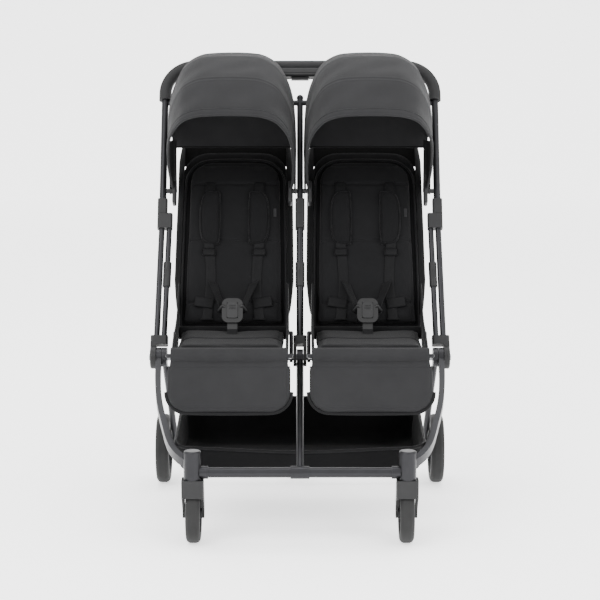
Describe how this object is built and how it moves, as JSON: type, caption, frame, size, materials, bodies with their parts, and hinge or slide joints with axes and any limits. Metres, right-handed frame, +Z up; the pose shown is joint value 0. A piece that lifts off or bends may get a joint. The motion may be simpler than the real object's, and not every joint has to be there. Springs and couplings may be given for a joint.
{
  "type": "side-by-side double stroller",
  "caption": "Compact folding side-by-side double stroller with nested hoods, reclining seats, swivel front casters, foot brake and fabric basket.",
  "frame": {"origin": "middle of the footprint on the floor", "axes": "+Z up, +Y to the back where the pusher stands, +X to the pusher's left"},
  "size_m": [0.751, 0.8014, 1.126],
  "materials": {
    "frame_tube": "satin anodised dark grey",
    "moulded_black": "fine textured black",
    "wheel_rim": "satin black",
    "tyre": "matt tread rubber",
    "grip": "stitched black grip cover",
    "steel": "blackened steel",
    "hood_fabric": "dark grey woven polyester",
    "seat_fabric": "black padded polyester",
    "calf_fabric": "dark grey woven polyester",
    "basket_fabric": "black polyester",
    "harness": "black padded webbing",
    "buckle_plastic": "black moulded"
  },
  "bodies": {
    "chassis": {"fold_hub_left": "moulded_black", "fold_hub_right": "moulded_black", "fold_hub_centre": "moulded_black", "hub_axle": "steel", "lower_tube_left": "frame_tube", "lower_tube_right": "frame_tube", "inner_tube_left": "frame_tube", "inner_tube_right": "frame_tube", "centre_strut": "frame_tube", "accessory_sockets": "moulded_black", "fold_knuckles_lower": "moulded_black", "seat_frame_left": "frame_tube", "seat_frame_right": "frame_tube", "seat_base_left": "seat_fabric", "seat_base_right": "seat_fabric", "buckle_left": "buckle_plastic", "buckle_right": "buckle_plastic", "basket": "basket_fabric"},
    "push_frame": {"push_tube": "frame_tube", "handle_grip": "grip", "upper_support": "frame_tube", "release_housing": "moulded_black", "fold_knuckles_upper": "moulded_black", "hood_pivots": "moulded_black", "hood_clips": "moulded_black", "hood_rear_left": "hood_fabric", "hood_rear_right": "hood_fabric"},
    "fold_button": {"release_button": "moulded_black"},
    "front_frame": {"caster_post_left": "frame_tube", "caster_post_right": "frame_tube", "front_leg_left": "frame_tube", "front_leg_right": "frame_tube", "front_cross_bar": "frame_tube", "centre_leg": "frame_tube"},
    "rear_frame": {"rear_leg_left": "frame_tube", "rear_leg_right": "frame_tube", "rear_axle": "steel"},
    "brake": {"brake_pedal": "moulded_black"},
    "caster_left": {"caster_fork_left": "moulded_black"},
    "front_wheel_left": {"front_tyre_left": "tyre", "front_rim_left": "wheel_rim"},
    "rear_wheel_left": {"rear_tyre_left": "tyre", "rear_rim_left": "wheel_rim"},
    "hood_middle_left": {"hood_middle_left": "hood_fabric"},
    "hood_front_left": {"hood_front_left": "hood_fabric"},
    "seat_back_left": {"backrest_left": "seat_fabric", "shoulder_pads_left": "harness"},
    "calf_rest_left": {"calf_rest_left": "calf_fabric"},
    "buckle_key_left": {"buckle_key_left": "buckle_plastic"},
    "caster_right": {"caster_fork_right": "moulded_black"},
    "front_wheel_right": {"front_tyre_right": "tyre", "front_rim_right": "wheel_rim"},
    "rear_wheel_right": {"rear_tyre_right": "tyre", "rear_rim_right": "wheel_rim"},
    "hood_middle_right": {"hood_middle_right": "hood_fabric"},
    "hood_front_right": {"hood_front_right": "hood_fabric"},
    "seat_back_right": {"backrest_right": "seat_fabric", "shoulder_pads_right": "harness"},
    "calf_rest_right": {"calf_rest_right": "calf_fabric"},
    "buckle_key_right": {"buckle_key_right": "buckle_plastic"}
  },
  "joints": [
    {"name": "push_fold", "type": "hinge", "parent": "chassis", "child": "push_frame", "pos_m": [0, 0.20865, 0.70539], "axis": [-1, 0, 0], "range_deg": [0, 130]},
    {"name": "front_fold", "type": "hinge", "parent": "chassis", "child": "front_frame", "pos_m": [0, 0.01426, 0.376], "axis": [1, 0, 0], "range_deg": [0, 63.14], "deforming": ["basket"]},
    {"name": "rear_fold", "type": "hinge", "parent": "chassis", "child": "rear_frame", "pos_m": [0, 0.01426, 0.376], "axis": [-1, 0, 0], "range_deg": [0, 16.25]},
    {"name": "caster_swivel_left", "type": "hinge", "parent": "front_frame", "child": "caster_left", "pos_m": [0.25, -0.36574, 0.1615], "axis": [0, 0, 1], "continuous": true},
    {"name": "front_wheel_spin_left", "type": "hinge", "parent": "caster_left", "child": "front_wheel_left", "pos_m": [0.25, -0.33074, 0.07], "axis": [1, 0, 0], "continuous": true},
    {"name": "rear_wheel_spin_left", "type": "hinge", "parent": "rear_frame", "child": "rear_wheel_left", "pos_m": [0.358, 0.23426, 0.09], "axis": [1, 0, 0], "continuous": true},
    {"name": "hood_fold_left", "type": "hinge", "parent": "push_frame", "child": "hood_middle_left", "pos_m": [0.174, 0.22158, 0.77089], "axis": [-1, 0, 0], "range_deg": [0, 19]},
    {"name": "hood_front_fold_left", "type": "hinge", "parent": "hood_middle_left", "child": "hood_front_left", "pos_m": [0.174, 0.22158, 0.77089], "axis": [-1, 0, 0], "range_deg": [0, 19]},
    {"name": "recline_left", "type": "hinge", "parent": "chassis", "child": "seat_back_left", "pos_m": [0.168, 0.05026, 0.431], "axis": [1, 0, 0], "range_deg": [-28, 0]},
    {"name": "calf_fold_left", "type": "hinge", "parent": "chassis", "child": "calf_rest_left", "pos_m": [0.168, -0.23174, 0.427], "axis": [1, 0, 0], "range_deg": [-60, 0]},
    {"name": "buckle_press_left", "type": "slide", "parent": "chassis", "child": "buckle_key_left", "axis": [0, 0.9135, -0.4067], "range_m": [0, 0.003], "stiffness_N_per_m": 400},
    {"name": "caster_swivel_right", "type": "hinge", "parent": "front_frame", "child": "caster_right", "pos_m": [-0.25, -0.36574, 0.1615], "axis": [0, 0, 1], "continuous": true},
    {"name": "front_wheel_spin_right", "type": "hinge", "parent": "caster_right", "child": "front_wheel_right", "pos_m": [-0.25, -0.33074, 0.07], "axis": [1, 0, 0], "continuous": true},
    {"name": "rear_wheel_spin_right", "type": "hinge", "parent": "rear_frame", "child": "rear_wheel_right", "pos_m": [-0.358, 0.23426, 0.09], "axis": [1, 0, 0], "continuous": true},
    {"name": "hood_fold_right", "type": "hinge", "parent": "push_frame", "child": "hood_middle_right", "pos_m": [-0.174, 0.22158, 0.77089], "axis": [-1, 0, 0], "range_deg": [0, 19]},
    {"name": "hood_front_fold_right", "type": "hinge", "parent": "hood_middle_right", "child": "hood_front_right", "pos_m": [-0.174, 0.22158, 0.77089], "axis": [-1, 0, 0], "range_deg": [0, 19]},
    {"name": "recline_right", "type": "hinge", "parent": "chassis", "child": "seat_back_right", "pos_m": [-0.168, 0.05026, 0.431], "axis": [1, 0, 0], "range_deg": [-28, 0]},
    {"name": "calf_fold_right", "type": "hinge", "parent": "chassis", "child": "calf_rest_right", "pos_m": [-0.168, -0.23174, 0.427], "axis": [1, 0, 0], "range_deg": [-60, 0]},
    {"name": "buckle_press_right", "type": "slide", "parent": "chassis", "child": "buckle_key_right", "axis": [0, 0.9135, -0.4067], "range_m": [0, 0.003], "stiffness_N_per_m": 400},
    {"name": "brake_press", "type": "hinge", "parent": "rear_frame", "child": "brake", "pos_m": [0, 0.23426, 0.09], "axis": [-1, 0, 0], "range_deg": [0, 22]},
    {"name": "fold_button_slide", "type": "slide", "parent": "push_frame", "child": "fold_button", "axis": [0, 0.4648, 0.8854], "range_m": [0, 0.004], "stiffness_N_per_m": 600}
  ],
  "couplings": [
    {"joint": "front_fold", "follows": "push_fold", "ratio": 0.48569},
    {"joint": "rear_fold", "follows": "push_fold", "ratio": 0.125},
    {"joint": "hood_front_fold_left", "follows": "hood_fold_left", "ratio": 1},
    {"joint": "hood_front_fold_right", "follows": "hood_fold_right", "ratio": 1}
  ]
}
